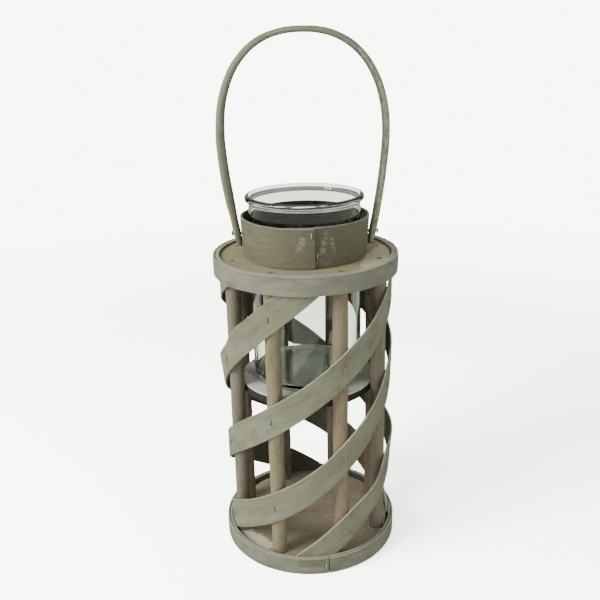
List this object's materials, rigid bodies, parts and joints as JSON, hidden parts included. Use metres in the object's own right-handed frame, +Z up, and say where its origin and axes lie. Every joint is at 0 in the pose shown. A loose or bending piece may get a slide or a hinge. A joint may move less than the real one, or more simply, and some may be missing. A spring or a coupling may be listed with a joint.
{
  "type": "hanging lantern",
  "caption": "Round bentwood lantern with an open glass jar on a shelf, helical wooden slats round a ring of posts, a collar and a swinging bail handle.",
  "frame": {"origin": "middle of the underside of the base board, which is the surface the lantern stands on", "axes": "+Z up along the lantern's axis; the handle's pivot line runs along X; -Y is the front, where the collar is lapped"},
  "size_m": [0.18, 0.1804, 0.516],
  "materials": {
    "board_wood": "weathered brown-grey boards, open grain",
    "shelf_wood": "weathered grey board with a near-black sawn edge",
    "hoop_wood": "grey-green weathered bentwood with pale worn edges",
    "slat_wood": "grey-green weathered splits with pale worn edges",
    "post_wood": "tan weathered round rods",
    "collar_wood": "dark brown-grey bentwood",
    "handle_wood": "dark olive-brown bent split, smoother than the rest",
    "steel": "bright drawn wire and nails",
    "clear_glass": "clear with a faint green edge"
  },
  "bodies": {
    "frame": {"base_board": "board_wood", "base_hoop_inner": "hoop_wood", "base_hoop_outer": "hoop_wood", "base_hoop_staple": "steel", "collar": "collar_wood", "collar_staple_1": "steel", "collar_staple_2": "steel", "handle_rivet_left": "steel", "handle_rivet_right": "steel", "post_1": "post_wood", "post_2": "post_wood", "post_3": "post_wood", "post_4": "post_wood", "post_5": "post_wood", "post_6": "post_wood", "post_7": "post_wood", "post_8": "post_wood", "shelf_board": "shelf_wood", "slat_1": "slat_wood", "slat_1_staple_1": "steel", "slat_1_staple_2": "steel", "slat_1_staple_3": "steel", "slat_1_staple_4": "steel", "slat_1_staple_5": "steel", "slat_1_staple_6": "steel", "slat_2": "slat_wood", "slat_2_staple_1": "steel", "slat_2_staple_2": "steel", "slat_2_staple_3": "steel", "slat_2_staple_4": "steel", "slat_2_staple_5": "steel", "slat_2_staple_6": "steel", "slat_3": "slat_wood", "slat_3_staple_1": "steel", "slat_3_staple_2": "steel", "slat_3_staple_3": "steel", "slat_3_staple_4": "steel", "slat_3_staple_5": "steel", "slat_3_staple_6": "steel", "slat_4": "slat_wood", "slat_4_staple_1": "steel", "slat_4_staple_2": "steel", "slat_4_staple_3": "steel", "slat_4_staple_4": "steel", "slat_4_staple_5": "steel", "slat_4_staple_6": "steel", "top_board": "board_wood", "top_hoop_inner": "hoop_wood", "top_hoop_outer": "hoop_wood", "top_hoop_staple": "steel", "top_nail_1": "steel", "top_nail_2": "steel", "top_nail_3": "steel", "top_nail_4": "steel", "top_nail_5": "steel", "top_nail_6": "steel", "top_nail_7": "steel", "top_nail_8": "steel"},
    "handle": {"handle": "handle_wood"},
    "glass": {"glass_jar": "clear_glass"}
  },
  "joints": [
    {"name": "handle_swing", "type": "hinge", "parent": "frame", "child": "handle", "pos_m": [0, 0, 0.328], "axis": [1, 0, 0], "range_deg": [-100, 100]},
    {"name": "glass_lift", "type": "slide", "parent": "frame", "child": "glass", "axis": [0, 0, 1], "range_m": [0, 0.104]}
  ]
}
